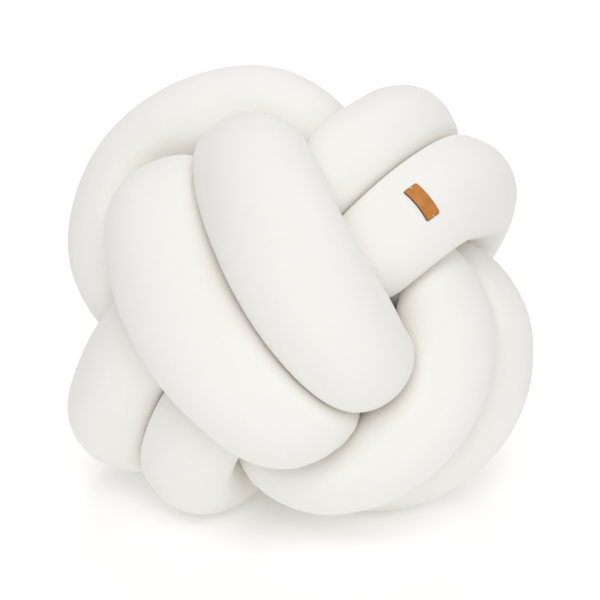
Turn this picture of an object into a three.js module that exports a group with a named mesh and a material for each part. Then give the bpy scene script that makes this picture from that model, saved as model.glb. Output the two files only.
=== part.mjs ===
// Knotted ball cushion: one long stuffed jersey tube, tied as a ball of three bands at right angles,
// with two turns in each band, and a small leather tag sewn on one turn.
// Millimetres, +Z up. The origin is at the middle of the ball's footprint, on the surface it rests on.
import * as THREE from 'three';

// Driving dimensions of the knot, in its own axes, with the middle of the ball at 0.
const TUBE_RADIUS = 51;        // of the stuffed tube where nothing presses on it
const UNDER_DEPTH = 55;        // from the middle of the ball to an inner pass, half way along it
const UNDER_OFFSET = 20;       // from the middle plane of a band to an inner pass
const UNDER_END = [35, 65];    // where an inner pass starts to climb: along the band, and across it
const CORE_POINT = [30, 20, -10];  // middle of the hidden pass from one band to the next: long, short, side
const CROSSOVER_SHARE = 0.8;   // how far out of the middle plane the crossing pass still is at its ends

// How the ball lies: turns about X, Y and Z that bring the knot's axes to the resting pose.
const REST_TURN_DEG = [60, -15, 42];
const FLAT_SPOT_DEPTH = 12;    // how far the resting passes are pressed flat by the ball's own weight

// Surface of the tube.
const STEPS = 300;             // sections along the whole tube
const SIDES = 16;              // corners of a section
const NEIGHBOURS_PER_STEP = 4; // points of the route that a section is held clear of, for each step
const PRESS_GAP = 4;           // left clear on each side where two passes press together
const LEAST_RADIUS = 4;
const MOST_SWELL = 1.35;       // farthest that the skin stands from the route, in tube radii
const SETTLING_ROUNDS = 40;
const SETTLING_RATE = 0.5;     // share of the way to its neighbours that the skin moves in a round
const LENGTHWISE_TENSION = 0.4;  // of the skin along the tube, as a share of that around it
const FILLING = 0.7;           // how hard the filling swells a squeezed section where it is free

// Leather tag, sewn across the upper right turn.
const TAG_WIDTH = 13.5;          // along the tube
const TAG_LENGTH = 31;         // around the tube
const TAG_THICKNESS = 1.2;
const TAG_LIFT = 0.6;          // clear of the tube's skin
const TAG_PLACE = 0.506;       // share of the tube's length, from the start of the route
const TAG_FACING = [0.57, -0.28, 0.78];

// The axes of each band: the long and short way round the band, and the side way that its turns share.
const BANDS = {
  front: { long: 'z', short: 'y', side: 'x' },
  right: { long: 'x', short: 'z', side: 'y' },
  ring: { long: 'y', short: 'x', side: 'z' },
};
const BAND_ORDER = ['front', 'right', 'ring'];

// The regular outer pass. reach: middle of the pass from the middle of the ball. offset: its distance
// from the band's middle plane. slide: its shift along itself. tilt: its turn in the face, in degrees.
// half: half its length between the bends. rise: height of the bends, on the mean. lean: how far the
// first bend is above that mean and the second below it. bend: distance of the bends from the plane.
const REGULAR_PASS = { reach: 160, offset: 45, slide: 0, tilt: 0, half: 90, rise: 95, lean: 0, bend: 35 };

// How each outer pass differs from the regular one. turn 1 or -1 is its side of the band, and end 1 or -1
// its end of the band's long way.
const OUTER_PASSES = {
  front: [
    { turn: 1, end: 1, reach: 185, offset: 42, slide: -10, tilt: 15, half: 95, rise: 110 },
    { turn: 1, end: -1 },
    { turn: -1, end: 1, reach: 155, offset: 64, slide: 6, tilt: 10, half: 114 },
    { turn: -1, end: -1, reach: 165, offset: 55, slide: -5, half: 95 },
  ],
  right: [
    { turn: 1, end: 1, offset: 30, tilt: -5, bend: 30 },
    { turn: 1, end: -1, reach: 190, offset: 22 },
    { turn: -1, end: 1, reach: 165, offset: 22, rise: 100, bend: 30 },
    { turn: -1, end: -1, reach: 165, slide: 5, half: 80 },
  ],
  ring: [
    { turn: 1, end: 1, offset: 50, half: 104, rise: 100, lean: -5 },
    { turn: 1, end: -1, reach: 153, slide: -3, half: 93 },
    { turn: -1, end: 1 },
    { turn: -1, end: -1, reach: 166, offset: 50, slide: 10, half: 95, rise: 97 },
  ],
};

// A point of a band, from its distances the long way, the short way and to the side.
function bandPoint(bandName, long, short, side) {
  const band = BANDS[bandName];
  return new THREE.Vector3().set(0, 0, 0)
    .setComponent('xyz'.indexOf(band.long), long)
    .setComponent('xyz'.indexOf(band.short), short)
    .setComponent('xyz'.indexOf(band.side), side);
}

// The bend, middle and bend of one outer pass, in the order in which the tube runs through them.
function outerPass(bandName, turn, end) {
  const difference = OUTER_PASSES[bandName].find((row) => row.turn === turn && row.end === end);
  const pass = { ...REGULAR_PASS, ...difference };
  const lean = Math.sin(THREE.MathUtils.degToRad(pass.tilt));
  const point = (height, along, side) =>
    bandPoint(bandName, end * height, along * Math.sqrt(1 - lean * lean) + pass.slide, side + along * lean);
  return [
    point(pass.rise + pass.lean, end * pass.half, turn * pass.bend),
    point(pass.reach, 0, turn * pass.offset),
    point(pass.rise - pass.lean, -end * pass.half, turn * pass.bend),
  ];
}

// An inner pass on the near short side of a band, running under the next band from its + to its - end.
function innerPass(bandName, turn) {
  const [climb, across] = UNDER_END;
  const side = turn * UNDER_OFFSET;
  return [
    bandPoint(bandName, climb, -across, side),
    bandPoint(bandName, 0, -UNDER_DEPTH, side),
    bandPoint(bandName, -climb, -across, side),
  ];
}

// The inner pass that crosses from the first turn of a band to its second, from the - end to the + end.
function crossoverPass(bandName) {
  const [climb, across] = UNDER_END;
  const side = CROSSOVER_SHARE * UNDER_OFFSET;
  return [
    bandPoint(bandName, -climb, across, side),
    bandPoint(bandName, 0, UNDER_DEPTH, 0),
    bandPoint(bandName, climb, across, -side),
  ];
}

// The hidden pass through the core, from the second turn of one band to the first of the next.
function corePass(bandName, nextBandName) {
  const [climb, across] = UNDER_END;
  return [
    bandPoint(bandName, -climb, across, -UNDER_OFFSET),
    bandPoint(bandName, ...CORE_POINT),
    bandPoint(nextBandName, climb, across, UNDER_OFFSET),
  ];
}

// The whole route of the tube: a closed loop, since its two ends are sewn together inside the knot.
function tubeRoute() {
  const points = BAND_ORDER.flatMap((name, index) => [
    ...outerPass(name, 1, 1),
    ...innerPass(name, 1),
    ...outerPass(name, 1, -1),
    ...crossoverPass(name),
    ...outerPass(name, -1, 1),
    ...innerPass(name, -1),
    ...outerPass(name, -1, -1),
    ...corePass(name, BAND_ORDER[(index + 1) % BAND_ORDER.length]),
  ]);
  const route = new THREE.CatmullRomCurve3(points, true, 'catmullrom', 0.5);
  route.arcLengthDivisions = 40 * points.length;
  return route;
}

// How far a section may reach from its centre in one direction: to the planes that stand half way to
// every other stretch of the tube, so that passes that press together share a flat, and less the gap.
function limitOf(centre, direction, neighbours) {
  const toNeighbour = new THREE.Vector3();
  let limit = MOST_SWELL * TUBE_RADIUS + PRESS_GAP;
  for (const neighbour of neighbours) {
    toNeighbour.subVectors(neighbour, centre);
    const ahead = toNeighbour.dot(direction);
    if (ahead > 1e-3) limit = Math.min(limit, toNeighbour.lengthSq() / (2 * ahead));
  }
  return Math.max(limit - PRESS_GAP, LEAST_RADIUS);
}

// How much shorter the way round a section is than that round the unpressed tube, as a share.
function slackOf(reaches) {
  const opening = Math.cos((2 * Math.PI) / SIDES);
  const girth = reaches.reduce((sum, here, side) => {
    const next = reaches[(side + 1) % SIDES];
    return sum + Math.sqrt(here * here + next * next - 2 * here * next * opening);
  }, 0);
  return 1 - girth / (2 * SIDES * Math.sin(Math.PI / SIDES) * TUBE_RADIUS);
}

// Lets the skin settle inside its limits, as cloth under tension that the filling pushes out. Each corner
// is drawn towards its neighbours around and along the tube, and a squeezed section swells where it is
// free, so that it keeps its girth.
function settled(limits, centres, directions) {
  const wrapped = (list, index) => list[(index + list.length) % list.length];
  const angle = (2 * Math.PI) / SIDES;
  const roundness = TUBE_RADIUS * (1 - Math.cos(angle));
  const spacing = centres[0].distanceTo(centres[1]);
  const lengthwise = SETTLING_RATE * LENGTHWISE_TENSION * ((angle * TUBE_RADIUS) / spacing) ** 2;
  const corner = new THREE.Vector3();
  const reachAlong = (reaches, step, side) => corner.copy(wrapped(centres, step))
    .addScaledVector(wrapped(directions, step)[side], wrapped(reaches, step)[side]);

  let reaches = limits.map((ring) => ring.map((limit) => Math.min(limit, TUBE_RADIUS)));
  for (let round = 0; round < SETTLING_ROUNDS; round += 1) {
    const slacks = reaches.map(slackOf);
    reaches = reaches.map((ring, step) => {
      const slack = (wrapped(slacks, step - 1) + 2 * slacks[step] + wrapped(slacks, step + 1)) / 4;
      const swell = FILLING * angle ** 2 * TUBE_RADIUS * slack;
      return ring.map((reach, side) => {
        const outward = directions[step][side];
        const around = ((wrapped(ring, side - 1) + wrapped(ring, side + 1)) / 2) * Math.cos(angle) - reach;
        const behind = reachAlong(reaches, step - 1, side).sub(centres[step]).dot(outward);
        const ahead = reachAlong(reaches, step + 1, side).sub(centres[step]).dot(outward);
        const along = (behind + ahead) / 2 - reach;
        const moved = reach + SETTLING_RATE * (around + roundness) + lengthwise * along + swell;
        return THREE.MathUtils.clamp(moved, LEAST_RADIUS, limits[step][side]);
      });
    });
  }
  return reaches;
}

// The stuffed tube: a ring of corners around each centre, joined into one closed skin.
function stuffedTube(route) {
  const centres = route.getSpacedPoints(STEPS).slice(0, STEPS);
  const neighbours = route.getSpacedPoints(STEPS * NEIGHBOURS_PER_STEP);
  const frames = route.computeFrenetFrames(STEPS, true);
  const directions = centres.map((_, step) => Array.from({ length: SIDES }, (__, side) => {
    const angle = (2 * Math.PI * side) / SIDES;
    return new THREE.Vector3()
      .addScaledVector(frames.normals[step], Math.cos(angle))
      .addScaledVector(frames.binormals[step], Math.sin(angle));
  }));
  const limits = directions.map((ring, step) =>
    ring.map((direction) => limitOf(centres[step], direction, neighbours)));
  const reaches = settled(limits, centres, directions);

  const corners = directions.flatMap((ring, step) =>
    ring.map((direction, side) => centres[step].clone().addScaledVector(direction, reaches[step][side])));
  const indices = [];
  for (let step = 0; step < STEPS; step += 1) {
    for (let side = 0; side < SIDES; side += 1) {
      const here = step * SIDES;
      const ahead = ((step + 1) % STEPS) * SIDES;
      const nextSide = (side + 1) % SIDES;
      indices.push(here + side, here + nextSide, ahead + side);
      indices.push(ahead + side, here + nextSide, ahead + nextSide);
    }
  }
  const geometry = new THREE.BufferGeometry().setFromPoints(corners);
  geometry.setIndex(indices);
  return geometry;
}

// Where a ray that comes straight in from outside meets the tube's skin.
function skinPoint(skin, foot, outward) {
  const outside = foot.clone().addScaledVector(outward, 2 * TUBE_RADIUS);
  const [hit] = new THREE.Raycaster(outside, outward.clone().negate()).intersectObject(skin);
  return hit.point;
}

// The tag: a flat strip laid on the tube's skin, its length around the tube.
function tagOnSkin(route, tubeGeometry) {
  const geometry = new THREE.BoxGeometry(TAG_WIDTH, TAG_LENGTH, TAG_THICKNESS, 4, 12, 1);
  const skin = new THREE.Mesh(tubeGeometry);
  const along = route.getTangentAt(TAG_PLACE);
  const outward = new THREE.Vector3(...TAG_FACING).projectOnPlane(along).normalize();
  const around = new THREE.Vector3().crossVectors(outward, along);
  const middle = route.getPointAt(TAG_PLACE);
  const position = geometry.attributes.position;
  for (let index = 0; index < position.count; index += 1) {
    const angle = position.getY(index) / TUBE_RADIUS;
    const foot = middle.clone()
      .addScaledVector(along, position.getX(index))
      .addScaledVector(around, TUBE_RADIUS * Math.sin(angle));
    const lift = TAG_LIFT + TAG_THICKNESS / 2 + position.getZ(index);
    const corner = skinPoint(skin, foot, outward)
      .addScaledVector(outward, lift * Math.cos(angle))
      .addScaledVector(around, lift * Math.sin(angle));
    position.setXYZ(index, corner.x, corner.y, corner.z);
  }
  return geometry;
}

// The move that turns the knot to its resting pose and stands it on the surface, pressed in a little.
function restingMove(tubeGeometry) {
  const [x, y, z] = REST_TURN_DEG.map(THREE.MathUtils.degToRad);
  const turn = new THREE.Matrix4().makeRotationFromEuler(new THREE.Euler(x, y, z, 'XYZ'));
  const box = tubeGeometry.clone().applyMatrix4(turn);
  box.computeBoundingBox();
  const { min, max } = box.boundingBox;
  const shift = new THREE.Matrix4()
    .makeTranslation(-(min.x + max.x) / 2, -(min.y + max.y) / 2, -min.z - FLAT_SPOT_DEPTH);
  return shift.multiply(turn);
}

// Presses whatever would reach below the surface flat against it.
function pressFlat(geometry) {
  const position = geometry.attributes.position;
  for (let index = 0; index < position.count; index += 1) {
    position.setZ(index, Math.max(position.getZ(index), 0));
  }
}

function makeTube(geometry, move) {
  geometry.applyMatrix4(move);
  pressFlat(geometry);
  geometry.computeVertexNormals();
  const jersey = new THREE.MeshStandardMaterial({ color: '#f3f1ec', roughness: 0.9, metalness: 0 });
  const tube = new THREE.Mesh(geometry, jersey);
  tube.name = 'stuffed_tube';
  return tube;
}

function makeTag(geometry, move) {
  geometry.applyMatrix4(move);
  geometry.computeVertexNormals();
  const leather = new THREE.MeshStandardMaterial({ color: '#c98640', roughness: 0.6, metalness: 0 });
  const tag = new THREE.Mesh(geometry, leather);
  tag.name = 'leather_tag';
  return tag;
}

const route = tubeRoute();
const tubeGeometry = stuffedTube(route);
const tagGeometry = tagOnSkin(route, tubeGeometry);
const move = restingMove(tubeGeometry);

const cushion = new THREE.Group();
cushion.add(makeTube(tubeGeometry, move));
cushion.add(makeTag(tagGeometry, move));

export default cushion;
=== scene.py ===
"""A knotted ball cushion in off-white jersey with a small leather tag, on a white floor.

The ball is one long stuffed tube, tied in three bands at right angles with two turns in each.
Its route is the same as in the part's source. Lengths are in metres, and the table of passes in mm.
"""
import math

import bpy
import numpy as np
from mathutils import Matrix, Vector, noise
from mathutils.bvhtree import BVHTree


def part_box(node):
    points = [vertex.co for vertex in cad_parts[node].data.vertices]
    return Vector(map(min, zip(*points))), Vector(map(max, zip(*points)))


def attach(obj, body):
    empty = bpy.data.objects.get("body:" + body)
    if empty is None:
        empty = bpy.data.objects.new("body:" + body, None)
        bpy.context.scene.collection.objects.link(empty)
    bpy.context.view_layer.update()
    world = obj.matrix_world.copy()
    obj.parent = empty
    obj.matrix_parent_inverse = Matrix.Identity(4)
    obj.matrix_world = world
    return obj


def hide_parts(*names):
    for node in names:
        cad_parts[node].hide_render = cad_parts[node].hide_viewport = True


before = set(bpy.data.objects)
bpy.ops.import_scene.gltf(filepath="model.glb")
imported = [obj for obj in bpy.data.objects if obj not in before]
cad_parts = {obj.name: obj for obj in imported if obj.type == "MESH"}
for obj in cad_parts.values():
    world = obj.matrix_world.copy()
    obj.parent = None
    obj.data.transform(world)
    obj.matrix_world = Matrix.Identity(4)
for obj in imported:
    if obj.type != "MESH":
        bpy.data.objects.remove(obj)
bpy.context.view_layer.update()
tube_low, tube_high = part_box("stuffed_tube")

MM = 0.001

# The knot, in its own axes, with the middle of the ball at 0.
TUBE_RADIUS = 51 * MM
UNDER_DEPTH = 55 * MM
UNDER_OFFSET = 20 * MM
UNDER_CLIMB, UNDER_ACROSS = 35 * MM, 65 * MM
CORE_POINT = (30 * MM, 20 * MM, -10 * MM)
CROSSOVER_SHARE = 0.8
REST_TURN_DEG = (60, -15, 42)

# Surface of the tube. The skin settles inside its limits, as cloth under tension over a filling.
STEPS = 440
SIDES = 48
POINTS_PER_SPAN = 60
NEIGHBOURS_PER_STEP = 2
LEAST_AHEAD = 1e-6
FAR = 1.0
PRESS_GAP = 0.5 * MM
LEAST_RADIUS = 4 * MM
MOST_SWELL = 1.35
SETTLING_ROUNDS = 160
SETTLING_RATE = 0.5
LENGTHWISE_TENSION = 0.4
FILLING = 0.7

# How tight the creases are, how soft the flats' edges are, and the filling's slight lumps.
CREASE_DEPTH = 10 * MM
CREASE_CLOSING = 0.85
FLOOR_SOFTNESS = 4 * MM
LUMP_HEIGHT = 0.5 * MM
LUMP_SPACING = 38 * MM
LUMP_ROOM = 6 * MM

# Cloth simulation. Pressed skin is held with a weight that falls as it gets room, and the move is capped.
SIMULATED_FRAMES = 20
PRESSURE = 4
HELD_WEIGHT = 1.2
HELD_ROOM = 8 * MM
MOST_STRETCH = 2 * MM
STRETCH_SHARE = 0.4
TINY = 1e-9

# Leather tag and its stitches.
TAG_WIDTH = 13.5 * MM
TAG_LENGTH = 31 * MM
TAG_THICKNESS = 1.2 * MM
TAG_CORNER = 1.5 * MM
TAG_PLACE = 0.506
TAG_FACING = (0.57, -0.28, 0.78)
TAG_COLUMNS, TAG_ROWS = 31, 67
TAG_SINK = 0.2 * MM
EDGE_DROOP = 0.3 * MM
EDGE_DROOP_WIDTH = 0.6 * MM
STITCH_LENGTH = 2.4 * MM
STITCH_REACH = 0.6 * MM
STITCH_ARCH = 0.5 * MM
STITCH_SINK = 0.2 * MM
STITCH_START_DEPTH = 0.3 * MM
STITCH_DROP = 1.6
STITCH_RINGS = 11
THREAD_SIDES = 8
THREAD_RADIUS = 0.35 * MM

# Finishes, as linear colours, and the size of one knit stitch.
WALE_WIDTH = 1.1 * MM
COURSE_HEIGHT = 0.9 * MM
KNIT_DEPTH = 0.15 * MM
FINE_DEPTH = 0.1 * MM
LOOP_SHARE = 0.35
FUZZ_SHARE = 0.8
SLUB_SHARE = 0.3
JERSEY_LIGHT = (0.915, 0.9, 0.865)
JERSEY_SHADE = (0.895, 0.88, 0.84)
LEATHER_TAN = (0.6, 0.235, 0.045)
LEATHER_DARK = (0.48, 0.18, 0.035)
LEATHER_BURNT = (0.12, 0.045, 0.015)
LEATHER_EDGE = 0.8 * MM

# Soft studio light: a white room, a large key high in front, a fill at the right, and a lamp that
# lights the floor behind.
WORLD_STRENGTH = 0.53
KEY_WATTS = 29
KEY_PLACE = (-0.1, -1.8, 2.2)
KEY_SIZE = 1.8
FILL_WATTS = 4
FILL_PLACE = (2.2, -1, 1.2)
FILL_SIZE = 1.6
BACK_WATTS = 3.5
BACK_PLACE = (0, 1.5, 2)
BACK_AIM = (0, 0.8, 0)
BACK_SIZE = 1.5
BACK_SPREAD = math.radians(57)
FLOOR_GLOW = 0.12
FLOOR_REACH = 4
DIFFUSE_BOUNCES = 8

# Camera, in front and a little above.
CAMERA_ELEVATION = math.radians(25)
CAMERA_DISTANCE = 2.3
LENS_MM = 160
SENSOR_WIDTH_MM = 36
AIM_BELOW_MIDDLE = 4 * MM

# For each band, the axis numbers of its long way, its short way and the side way.
BANDS = {"front": (2, 1, 0), "right": (0, 2, 1), "ring": (1, 0, 2)}
BAND_ORDER = ("front", "right", "ring")

# The regular outer pass, in mm and degrees, and how each pass differs from it, by band, turn and end.
REGULAR_PASS = dict(reach=160, offset=45, slide=0, tilt=0, half=90, rise=95, lean=0, bend=35)
OUTER_PASSES = {
    ("front", 1, 1): dict(reach=185, offset=42, slide=-10, tilt=15, half=95, rise=110),
    ("front", 1, -1): {},
    ("front", -1, 1): dict(reach=155, offset=64, slide=6, tilt=10, half=114),
    ("front", -1, -1): dict(reach=165, offset=55, slide=-5, half=95),
    ("right", 1, 1): dict(offset=30, tilt=-5, bend=30),
    ("right", 1, -1): dict(reach=190, offset=22),
    ("right", -1, 1): dict(reach=165, offset=22, rise=100, bend=30),
    ("right", -1, -1): dict(reach=165, slide=5, half=80),
    ("ring", 1, 1): dict(offset=50, half=104, rise=100, lean=-5),
    ("ring", 1, -1): dict(reach=153, slide=-3, half=93),
    ("ring", -1, 1): {},
    ("ring", -1, -1): dict(reach=166, offset=50, slide=10, half=95, rise=97),
}


def band_point(band, long, short, side):
    point = np.zeros(3)
    point[list(BANDS[band])] = long, short, side
    return point


def outer_pass(band, turn, end):
    """Bend, middle and bend of one outer pass, in the order in which the tube runs."""
    row = {**REGULAR_PASS, **OUTER_PASSES[band, turn, end]}
    sine = math.sin(math.radians(row["tilt"]))
    cosine = math.cos(math.radians(row["tilt"]))

    def point(height, along, side):
        return band_point(band, end * height, along * cosine + row["slide"], turn * side + along * sine) * MM

    return [
        point(row["rise"] + row["lean"], end * row["half"], row["bend"]),
        point(row["reach"], 0, row["offset"]),
        point(row["rise"] - row["lean"], -end * row["half"], row["bend"]),
    ]


def inner_pass(band, turn):
    side = turn * UNDER_OFFSET
    return [
        band_point(band, UNDER_CLIMB, -UNDER_ACROSS, side),
        band_point(band, 0, -UNDER_DEPTH, side),
        band_point(band, -UNDER_CLIMB, -UNDER_ACROSS, side),
    ]


def crossover_pass(band):
    side = CROSSOVER_SHARE * UNDER_OFFSET
    return [
        band_point(band, -UNDER_CLIMB, UNDER_ACROSS, side),
        band_point(band, 0, UNDER_DEPTH, 0),
        band_point(band, UNDER_CLIMB, UNDER_ACROSS, -side),
    ]


def core_pass(band, next_band):
    return [
        band_point(band, -UNDER_CLIMB, UNDER_ACROSS, -UNDER_OFFSET),
        band_point(band, *CORE_POINT),
        band_point(next_band, UNDER_CLIMB, UNDER_ACROSS, UNDER_OFFSET),
    ]


def tube_route():
    """Points of the closed loop, in the order in which the tube runs."""
    points = []
    for index, band in enumerate(BAND_ORDER):
        points += outer_pass(band, 1, 1) + inner_pass(band, 1) + outer_pass(band, 1, -1)
        points += crossover_pass(band)
        points += outer_pass(band, -1, 1) + inner_pass(band, -1) + outer_pass(band, -1, -1)
        points += core_pass(band, BAND_ORDER[(index + 1) % len(BAND_ORDER)])
    return np.array(points)


def spaced_points(route, count):
    """Evenly spaced points of the closed Catmull-Rom curve through the route, and its length."""
    t = np.linspace(0, 1, POINTS_PER_SPAN, endpoint=False)[:, None]
    before, here = np.roll(route, 1, axis=0), route
    after, beyond = np.roll(route, -1, axis=0), np.roll(route, -2, axis=0)
    spans = [
        0.5 * (2 * b + (c - a) * t + (2 * a - 5 * b + 4 * c - d) * t**2 + (3 * b - a - 3 * c + d) * t**3)
        for a, b, c, d in zip(before, here, after, beyond)
    ]
    curve = np.concatenate(spans + [spans[0][:1]])
    travelled = np.concatenate([[0], np.cumsum(np.linalg.norm(np.diff(curve, axis=0), axis=1))])
    wanted = np.linspace(0, travelled[-1], count, endpoint=False)
    points = np.stack([np.interp(wanted, travelled, curve[:, axis]) for axis in range(3)], axis=1)
    return points, travelled[-1]


def unit(vectors):
    return vectors / np.linalg.norm(vectors, axis=-1, keepdims=True)


def turned(vectors, axes, angles):
    """Each vector turned about its own unit axis."""
    cos, sin = np.cos(angles)[:, None], np.sin(angles)[:, None]
    along = np.sum(vectors * axes, axis=1, keepdims=True)
    return vectors * cos + np.cross(axes, vectors) * sin + axes * along * (1 - cos)


def carried_frames(centres):
    """Tangents, and normals carried along the closed loop with no twist of their own."""
    tangents = unit(np.roll(centres, -1, axis=0) - np.roll(centres, 1, axis=0))
    count = len(centres)
    normals = np.zeros_like(centres)
    start = centres[0] - centres[0] @ tangents[0] * tangents[0]
    normals[0] = start / np.linalg.norm(start)
    carried = normals[0]
    for step in range(1, count + 1):
        tangent = tangents[step % count]
        carried = carried - carried @ tangent * tangent
        carried = carried / np.linalg.norm(carried)
        if step < count:
            normals[step] = carried
    left_over = math.atan2(np.cross(tangents[0], normals[0]) @ carried, normals[0] @ carried)
    share = -left_over * np.arange(count) / count
    return tangents, turned(normals, tangents, share)


def limits_of(centres, directions, neighbours):
    """How far each corner may stand from its centre: to the planes half way to every other stretch."""
    limits = np.empty(directions.shape[:2])
    for step, centre in enumerate(centres):
        to_neighbour = neighbours - centre
        ahead = directions[step] @ to_neighbour.T
        squared = np.sum(to_neighbour**2, axis=1)
        distance = np.where(ahead > LEAST_AHEAD, squared / (2 * np.maximum(ahead, LEAST_AHEAD)), FAR)
        limits[step] = distance.min(axis=1)
    return np.maximum(limits - PRESS_GAP, LEAST_RADIUS)


def slack_of(reaches):
    """How much shorter each section's girth is than the unpressed tube's, as a share."""
    following = np.roll(reaches, -1, axis=1)
    opening = math.cos(2 * math.pi / SIDES)
    chords = np.sqrt(np.maximum(reaches**2 + following**2 - 2 * reaches * following * opening, 0))
    return 1 - chords.sum(axis=1) / (2 * SIDES * math.sin(math.pi / SIDES) * TUBE_RADIUS)


def settled(limits, centres, directions):
    """Lets the skin settle inside its limits, as cloth under tension that the filling pushes out.

    Each corner is drawn towards its neighbours around and along the tube, and a squeezed section
    swells where it is free, so that it keeps its girth.
    """
    angle = 2 * math.pi / SIDES
    roundness = TUBE_RADIUS * (1 - math.cos(angle))
    spacing = np.linalg.norm(centres[1] - centres[0])
    lengthwise = SETTLING_RATE * LENGTHWISE_TENSION * (angle * TUBE_RADIUS / spacing) ** 2
    reaches = np.minimum(limits, TUBE_RADIUS)
    for _ in range(SETTLING_ROUNDS):
        slack = slack_of(reaches)
        slack = (np.roll(slack, 1) + 2 * slack + np.roll(slack, -1)) / 4
        swell = FILLING * angle**2 * TUBE_RADIUS * slack
        beside = (np.roll(reaches, 1, axis=1) + np.roll(reaches, -1, axis=1)) / 2
        around = beside * math.cos(angle) - reaches
        corners = centres[:, None] + reaches[..., None] * directions
        between = (np.roll(corners, 1, axis=0) + np.roll(corners, -1, axis=0)) / 2
        along = np.sum((between - centres[:, None]) * directions, axis=2) - reaches
        reaches = reaches + SETTLING_RATE * (around + roundness) + lengthwise * along + swell[:, None]
        reaches = np.clip(reaches, LEAST_RADIUS, np.minimum(limits, MOST_SWELL * TUBE_RADIUS))
    return reaches


def creases_closed(limits, reaches):
    """Plumps the skin out where it only just misses its neighbour, so that the creases are tight."""
    gaps = limits - reaches
    return reaches + CREASE_CLOSING * gaps * np.exp(-gaps / CREASE_DEPTH)


def stuffed_tube():
    """Corners of the tube as a grid of rings in the knot's own axes, and how free each one is to move."""
    route = tube_route()
    centres, length = spaced_points(route, STEPS)
    neighbours, _ = spaced_points(route, STEPS * NEIGHBOURS_PER_STEP)
    tangents, normals = carried_frames(centres)
    binormals = np.cross(tangents, normals)
    angles = 2 * math.pi * np.arange(SIDES) / SIDES
    directions = (
        np.cos(angles)[None, :, None] * normals[:, None] + np.sin(angles)[None, :, None] * binormals[:, None]
    )
    limits = limits_of(centres, directions, neighbours)
    reaches = creases_closed(limits, settled(limits, centres, directions))
    return centres[:, None] + reaches[..., None] * directions, limits - reaches, centres, length


def rest_matrix():
    x, y, z = (math.radians(angle) for angle in REST_TURN_DEG)
    about_x = np.array([[1, 0, 0], [0, math.cos(x), -math.sin(x)], [0, math.sin(x), math.cos(x)]])
    about_y = np.array([[math.cos(y), 0, math.sin(y)], [0, 1, 0], [-math.sin(y), 0, math.cos(y)]])
    about_z = np.array([[math.cos(z), -math.sin(z), 0], [math.sin(z), math.cos(z), 0], [0, 0, 1]])
    return about_x @ about_y @ about_z


def grid_faces(steps, sides):
    faces = []
    for step in range(steps):
        for side in range(sides):
            here, ahead, next_side = step * sides, (step + 1) % steps * sides, (side + 1) % sides
            faces.append((here + side, here + next_side, ahead + next_side, ahead + side))
    return faces


def new_object(name, vertices, faces):
    mesh = bpy.data.meshes.new(name)
    mesh.from_pydata([tuple(vertex) for vertex in vertices], [], faces)
    mesh.validate()
    mesh.update()
    for polygon in mesh.polygons:
        polygon.use_smooth = True
    item = bpy.data.objects.new(name, mesh)
    bpy.context.scene.collection.objects.link(item)
    return item


def settled_on_floor(points):
    """Presses what would reach below the floor flat against it, with a soft edge to the flat."""
    heights = points[..., 2]
    points[..., 2] = (heights + np.sqrt(heights**2 + FLOOR_SOFTNESS**2)) / 2
    return points


def add_tube_uv(mesh, steps, sides, length):
    """Texture coordinates in metres: across is round the tube and up is along it."""
    layer = mesh.uv_layers.new(name="fabric")
    girth = 2 * math.pi * TUBE_RADIUS
    for polygon in mesh.polygons:
        step, side = divmod(polygon.index, sides)
        corners = ((step, side), (step, side + 1), (step + 1, side + 1), (step + 1, side))
        for loop, (row, column) in zip(polygon.loop_indices, corners):
            layer.data[loop].uv = (column / sides * girth, row / steps * length)


def node(tree, kind, settings=None, **inputs):
    """A shader node with its settings, and its input values or links by name or number."""
    made = tree.nodes.new(kind)
    for name, value in (settings or {}).items():
        setattr(made, name, value)
    for name, value in inputs.items():
        socket = made.inputs[int(name[1:])] if name[1:].isdigit() else made.inputs[name.replace("_", " ")]
        if isinstance(value, bpy.types.NodeSocket):
            tree.links.new(value, socket)
        else:
            socket.default_value = value
    return made


def math_node(tree, operation, *values):
    inputs = {f"i{index}": value for index, value in enumerate(values)}
    return node(tree, "ShaderNodeMath", {"operation": operation}, **inputs).outputs[0]


def new_material(name):
    made = bpy.data.materials.new(name)
    made.use_nodes = True
    return made, made.node_tree, made.node_tree.nodes["Principled BSDF"]


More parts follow.
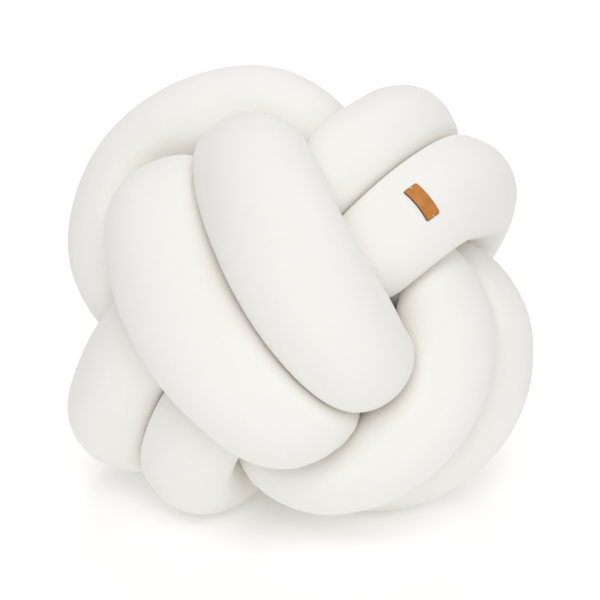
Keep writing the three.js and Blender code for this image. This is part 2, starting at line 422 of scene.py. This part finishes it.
def jersey_material():
    """Smooth off-white cotton jersey: columns of fine V stitches, a little fuzz, a little unevenness."""
    made, tree, shader = new_material("jersey")
    place = node(tree, "ShaderNodeUVMap", {"uv_map": "fabric"}).outputs[0]
    parts = node(tree, "ShaderNodeSeparateXYZ", i0=place)
    column = math_node(tree, "MULTIPLY", parts.outputs[0], 1 / WALE_WIDTH)
    across = math_node(tree, "ABSOLUTE", math_node(tree, "SUBTRACT", math_node(tree, "FRACT", column), 0.5))
    row = math_node(tree, "MULTIPLY", parts.outputs[1], 1 / COURSE_HEIGHT)
    slanted = math_node(tree, "ADD", row, across)
    loops = math_node(tree, "SINE", math_node(tree, "MULTIPLY", slanted, 2 * math.pi))
    groove = math_node(tree, "SINE", math_node(tree, "MULTIPLY", across, 2 * math.pi))
    knit = math_node(tree, "ADD", math_node(tree, "MULTIPLY", loops, LOOP_SHARE), groove)
    solid = node(tree, "ShaderNodeTexCoord").outputs["Object"]
    fuzz = node(tree, "ShaderNodeTexNoise", Vector=solid, Scale=900, Detail=3).outputs[0]
    height = math_node(tree, "ADD", knit, math_node(tree, "MULTIPLY", fuzz, FUZZ_SHARE))
    bump = node(tree, "ShaderNodeBump", Strength=0.35, Distance=KNIT_DEPTH, Height=height)
    tree.links.new(bump.outputs[0], shader.inputs["Normal"])

    patches = node(tree, "ShaderNodeTexNoise", Vector=solid, Scale=9, Detail=4, Roughness=0.6).outputs[0]
    slubs = node(tree, "ShaderNodeTexNoise", Vector=solid, Scale=260, Detail=2).outputs[0]
    broad = math_node(tree, "MULTIPLY", patches, 1 - SLUB_SHARE)
    mixture = math_node(tree, "ADD", broad, math_node(tree, "MULTIPLY", slubs, SLUB_SHARE))
    colour = node(tree, "ShaderNodeValToRGB", i0=mixture)
    colour.color_ramp.elements[0].position = 0.3
    colour.color_ramp.elements[0].color = (*JERSEY_SHADE, 1)
    colour.color_ramp.elements[1].position = 0.7
    colour.color_ramp.elements[1].color = (*JERSEY_LIGHT, 1)
    tree.links.new(colour.outputs[0], shader.inputs["Base Color"])
    shader.inputs["Roughness"].default_value = 0.9
    shader.inputs["Specular IOR Level"].default_value = 0.2
    shader.inputs["Sheen Weight"].default_value = 0.2
    shader.inputs["Sheen Roughness"].default_value = 0.5
    return made


def leather_material():
    """Smooth tan leather with a fine grain, slight mottling and dark cut edges."""
    made, tree, shader = new_material("tan_leather")
    solid = node(tree, "ShaderNodeTexCoord").outputs["Object"]
    pores = node(tree, "ShaderNodeTexVoronoi", Vector=solid, Scale=1500).outputs[0]
    grain = node(tree, "ShaderNodeTexNoise", Vector=solid, Scale=700, Detail=4).outputs[0]
    height = math_node(tree, "ADD", pores, grain)
    bump = node(tree, "ShaderNodeBump", Strength=0.4, Distance=FINE_DEPTH, Height=height)
    tree.links.new(bump.outputs[0], shader.inputs["Normal"])

    mottle = node(tree, "ShaderNodeTexNoise", Vector=solid, Scale=160, Detail=5).outputs[0]
    face = node(tree, "ShaderNodeValToRGB", i0=mottle)
    face.color_ramp.elements[0].position = 0.35
    face.color_ramp.elements[0].color = (*LEATHER_DARK, 1)
    face.color_ramp.elements[1].position = 0.65
    face.color_ramp.elements[1].color = (*LEATHER_TAN, 1)
    distance = node(tree, "ShaderNodeAttribute", {"attribute_name": "edge_distance"}).outputs["Fac"]
    inside = node(tree, "ShaderNodeMapRange", Value=distance, i1=LEATHER_EDGE * 0.5, i2=LEATHER_EDGE)
    colour = node(tree, "ShaderNodeMix", {"data_type": "RGBA"}, i0=inside.outputs[0], i7=face.outputs[0])
    colour.inputs[6].default_value = (*LEATHER_BURNT, 1)
    tree.links.new(colour.outputs[2], shader.inputs["Base Color"])
    shader.inputs["Roughness"].default_value = 0.5
    shader.inputs["Specular IOR Level"].default_value = 0.35
    return made


def thread_material():
    """White sewing thread with a twist along it."""
    made, tree, shader = new_material("white_thread")
    solid = node(tree, "ShaderNodeTexCoord").outputs["Object"]
    twist = node(tree, "ShaderNodeTexWave", {"wave_type": "BANDS"}, Vector=solid, Scale=900).outputs[1]
    bump = node(tree, "ShaderNodeBump", Strength=0.5, Distance=FINE_DEPTH, Height=twist)
    tree.links.new(bump.outputs[0], shader.inputs["Normal"])
    shader.inputs["Base Color"].default_value = (0.88, 0.86, 0.8, 1)
    shader.inputs["Roughness"].default_value = 0.7
    return made


def floor_material():
    """White paper floor, lit a little from within so that it stays white around the ball."""
    made, tree, shader = new_material("floor_white")
    solid = node(tree, "ShaderNodeTexCoord").outputs["Object"]
    tooth = node(tree, "ShaderNodeTexNoise", Vector=solid, Scale=400, Detail=2).outputs[0]
    bump = node(tree, "ShaderNodeBump", Strength=0.05, Distance=FINE_DEPTH, Height=tooth)
    tree.links.new(bump.outputs[0], shader.inputs["Normal"])
    shader.inputs["Base Color"].default_value = (0.97, 0.97, 0.97, 1)
    shader.inputs["Roughness"].default_value = 1
    shader.inputs["Emission Color"].default_value = (1, 1, 1, 1)
    shader.inputs["Emission Strength"].default_value = FLOOR_GLOW
    return made


def on_skin(skin, foot, outward):
    """Where a ray that comes straight in from outside meets the tube's skin."""
    hit, _, _, _ = skin.ray_cast(Vector(foot + 2 * TUBE_RADIUS * outward), Vector(-outward))
    return np.array(hit)


class TagPlace:
    """The spot on the tube that holds the tag: its middle, and the ways along, around and outward."""

    def __init__(self, centres, turn, shift):
        step = round(TAG_PLACE * STEPS)
        self.along = turn @ unit(centres[step + 1] - centres[step - 1])
        facing = turn @ np.array(TAG_FACING)
        self.outward = unit(facing - facing @ self.along * self.along)
        self.around = np.cross(self.outward, self.along)
        self.middle = turn @ centres[step] + shift

    def point(self, skin, x, y, lift):
        """A point lifted off the skin, x along the tube and y around it from the tag's middle."""
        angle = y / TUBE_RADIUS
        foot = self.middle + self.along * x + self.around * TUBE_RADIUS * math.sin(angle)
        up = self.outward * math.cos(angle) + self.around * math.sin(angle)
        return on_skin(skin, foot, self.outward) + up * lift


def corner_rounded(x, y):
    """Moves a point of the square tag to the tag with rounded corners."""
    half_width, half_length = TAG_WIDTH / 2, TAG_LENGTH / 2
    u = (abs(x) - half_width + TAG_CORNER) / TAG_CORNER
    v = (abs(y) - half_length + TAG_CORNER) / TAG_CORNER
    if u <= 0 or v <= 0:
        return x, y
    x_in = half_width - TAG_CORNER + TAG_CORNER * u * math.sqrt(1 - v * v / 2)
    y_in = half_length - TAG_CORNER + TAG_CORNER * v * math.sqrt(1 - u * u / 2)
    return math.copysign(x_in, x), math.copysign(y_in, y)


def make_tag(skin, place):
    """The tag as a bent plate: a top and a bottom sheet of corners, joined by a rim."""
    columns, rows = TAG_COLUMNS, TAG_ROWS
    xs = np.linspace(-TAG_WIDTH / 2, TAG_WIDTH / 2, columns)
    ys = np.linspace(-TAG_LENGTH / 2, TAG_LENGTH / 2, rows)
    vertices, edge_distances = [], []
    for level in ("top", "bottom"):
        for y in ys:
            for x in xs:
                inset = min(TAG_WIDTH / 2 - abs(x), TAG_LENGTH / 2 - abs(y))
                droop = EDGE_DROOP * max(0, 1 - inset / EDGE_DROOP_WIDTH) ** 2
                lift = TAG_THICKNESS - droop if level == "top" else -TAG_SINK
                vertices.append(place.point(skin, *corner_rounded(x, y), lift))
                edge_distances.append(inset if level == "top" else 0)
    count = columns * rows
    faces = []
    for row in range(rows - 1):
        for column in range(columns - 1):
            here = row * columns + column
            under = here + count
            faces.append((here, here + 1, here + columns + 1, here + columns))
            faces.append((under + columns, under + columns + 1, under + 1, under))
    rim = list(range(columns))
    rim += [row * columns + columns - 1 for row in range(1, rows)]
    rim += [count - 2 - column for column in range(columns - 1)]
    rim += [row * columns for row in range(rows - 2, 0, -1)]
    for here, ahead in zip(rim, rim[1:] + rim[:1]):
        faces.append((ahead, here, here + count, ahead + count))
    tag = new_object("tag_leather", vertices, faces)
    tag.data.attributes.new("edge_distance", "FLOAT", "POINT").data.foreach_set("value", edge_distances)
    return tag


def make_stitch(skin, place, end):
    """One stitch of thread over the middle of a short end of the tag."""
    count, sides = STITCH_RINGS, THREAD_SIDES
    outer = end * (TAG_LENGTH / 2 + STITCH_REACH)
    path = []
    for index in range(count):
        share = index / (count - 1)
        if index == 0:
            lift = TAG_THICKNESS - STITCH_START_DEPTH
        else:
            arch = STITCH_ARCH * math.sin(math.pi * share) ** 0.5
            lift = TAG_THICKNESS * min(1, STITCH_DROP * (1 - share)) + arch - STITCH_SINK
        y = outer - end * STITCH_LENGTH * (1 - share)
        path.append(place.point(skin, 0, y, lift))
    path = np.array(path)
    tangents = unit(np.gradient(path, axis=0))
    vertices = []
    for point, tangent in zip(path, tangents):
        upward = np.cross(place.along, tangent)
        for side in range(sides):
            angle = 2 * math.pi * side / sides
            outward = math.cos(angle) * place.along + math.sin(angle) * upward
            vertices.append(point + THREAD_RADIUS * outward)
    faces = [tuple(range(sides))[::-1], tuple(range((count - 1) * sides, count * sides))]
    for ring in range(count - 1):
        for side in range(sides):
            here, beside = ring * sides + side, ring * sides + (side + 1) % sides
            faces.append((here, beside, beside + sides, here + sides))
    return new_object(f"stitch_{'upper' if end > 0 else 'lower'}", vertices, faces)


def add_piece(piece, slot, material, *replaced):
    piece.data.materials.append(material)
    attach(piece, "root")
    if replaced:
        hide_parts(*replaced)


def lumps_at(points, normals, freedom):
    """The filling's slight unevenness, where nothing presses on the skin."""
    heights = [noise.noise(Vector(point / LUMP_SPACING)) for point in points]
    free = np.clip(freedom / LUMP_ROOM, 0, 1)
    return points + normals * (LUMP_HEIGHT * free * np.array(heights))[:, None]


def blown_up(tube, points, freedom):
    """Lets the cloth settle over its filling's pressure, held where it is pressed and capped elsewhere."""
    held = tube.vertex_groups.new(name="held")
    for index, room in enumerate(freedom):
        held.add([index], float(np.clip(HELD_WEIGHT - room / HELD_ROOM, 0, 1)), "REPLACE")
    cloth = tube.modifiers.new("cloth", "CLOTH")
    cloth.settings.use_pressure = True
    cloth.settings.uniform_pressure_force = PRESSURE
    cloth.settings.vertex_group_mass = held.name
    cloth.settings.effector_weights.gravity = 0
    cloth.point_cache.frame_end = SIMULATED_FRAMES
    scene = bpy.context.scene
    for frame_number in range(1, SIMULATED_FRAMES + 1):
        scene.frame_set(frame_number)
    simulated = tube.evaluated_get(bpy.context.evaluated_depsgraph_get()).data
    moved = np.empty(points.size)
    simulated.vertices.foreach_get("co", moved)
    tube.modifiers.remove(cloth)
    tube.vertex_groups.remove(held)
    scene.frame_set(1)
    shift = moved.reshape(-1, 3) - points
    length = np.linalg.norm(shift, axis=1)
    most = np.minimum(MOST_STRETCH, STRETCH_SHARE * freedom)
    share = np.tanh(length / np.maximum(most, TINY)) * most / np.maximum(length, TINY)
    settled_points = points + shift * share[:, None]
    settled_points[:, 2] = np.maximum(settled_points[:, 2], 0)
    return settled_points


def add_light(name, place, aim, size, watts, spread=math.pi):
    data = bpy.data.lights.new(name, "AREA")
    data.energy = watts
    data.size = size
    data.spread = spread
    light = bpy.data.objects.new(name, data)
    light.location = place
    light.rotation_euler = (Vector(aim) - Vector(place)).to_track_quat("-Z", "Y").to_euler()
    bpy.context.scene.collection.objects.link(light)


# The tube, in its resting pose and in the place of its CAD solid.
knot_corners, freedom, centres, tube_length = stuffed_tube()
turn = rest_matrix()
corners = knot_corners @ turn.T
low, high = corners.min(axis=(0, 1)), corners.max(axis=(0, 1))
knot_middle = np.array([
    (tube_low[0] + tube_high[0] - low[0] - high[0]) / 2,
    (tube_low[1] + tube_high[1] - low[1] - high[1]) / 2,
    tube_high[2] - high[2],
])
corners = settled_on_floor(corners + knot_middle)
tube = new_object("jersey_tube", corners.reshape(-1, 3), grid_faces(STEPS, SIDES))
add_tube_uv(tube.data, STEPS, SIDES, tube_length)
normals = np.array([vertex.normal for vertex in tube.data.vertices])
lumpy = lumps_at(corners.reshape(-1, 3), normals, freedom.reshape(-1))
tube.data.vertices.foreach_set("co", lumpy.ravel())
tube.data.update()
settled_cloth = blown_up(tube, lumpy, freedom.reshape(-1))
tube.data.vertices.foreach_set("co", settled_cloth.ravel())
tube.data.update()
subdivision = tube.modifiers.new("subdivision", "SUBSURF")
subdivision.levels = subdivision.render_levels = 1
jersey = jersey_material()
add_piece(tube, "jersey", jersey, "stuffed_tube")

# The tag and its two stitches, on the finished skin.
skin = BVHTree.FromObject(tube, bpy.context.evaluated_depsgraph_get())
tag_place = TagPlace(centres, turn, knot_middle)
add_piece(make_tag(skin, tag_place), "tan_leather", leather_material(), "leather_tag")
thread = thread_material()
for end in (-1, 1):
    add_piece(make_stitch(skin, tag_place, end), "jersey", thread)

floor_signs = ((-1, -1), (1, -1), (1, 1), (-1, 1))
floor_corners = [(x * FLOOR_REACH, y * FLOOR_REACH, 0) for x, y in floor_signs]
floor = new_object("floor", floor_corners, [(0, 1, 2, 3)])
floor.data.materials.append(floor_material())

# Camera, white room and lights.
toward_camera = np.array([0, -math.cos(CAMERA_ELEVATION), math.sin(CAMERA_ELEVATION)])
camera_up = np.array([0, math.sin(CAMERA_ELEVATION), math.cos(CAMERA_ELEVATION)])
camera_data = bpy.data.cameras.new("camera")
camera_data.sensor_width = SENSOR_WIDTH_MM
camera_data.lens = LENS_MM
camera = bpy.data.objects.new("camera", camera_data)
camera.location = knot_middle - camera_up * AIM_BELOW_MIDDLE + toward_camera * CAMERA_DISTANCE
camera.rotation_euler = (math.pi / 2 - CAMERA_ELEVATION, 0, 0)
bpy.context.scene.collection.objects.link(camera)
bpy.context.scene.camera = camera

world = bpy.data.worlds.new("studio")
world.use_nodes = True
world.node_tree.nodes["Background"].inputs["Color"].default_value = (1, 1, 1, 1)
world.node_tree.nodes["Background"].inputs["Strength"].default_value = WORLD_STRENGTH
bpy.context.scene.world = world
add_light("key", KEY_PLACE, knot_middle, KEY_SIZE, KEY_WATTS)
add_light("fill", FILL_PLACE, knot_middle, FILL_SIZE, FILL_WATTS)
add_light("floor_lamp", BACK_PLACE, BACK_AIM, BACK_SIZE, BACK_WATTS, BACK_SPREAD)
bpy.context.scene.cycles.diffuse_bounces = DIFFUSE_BOUNCES
bpy.context.scene.view_settings.view_transform = "Standard"
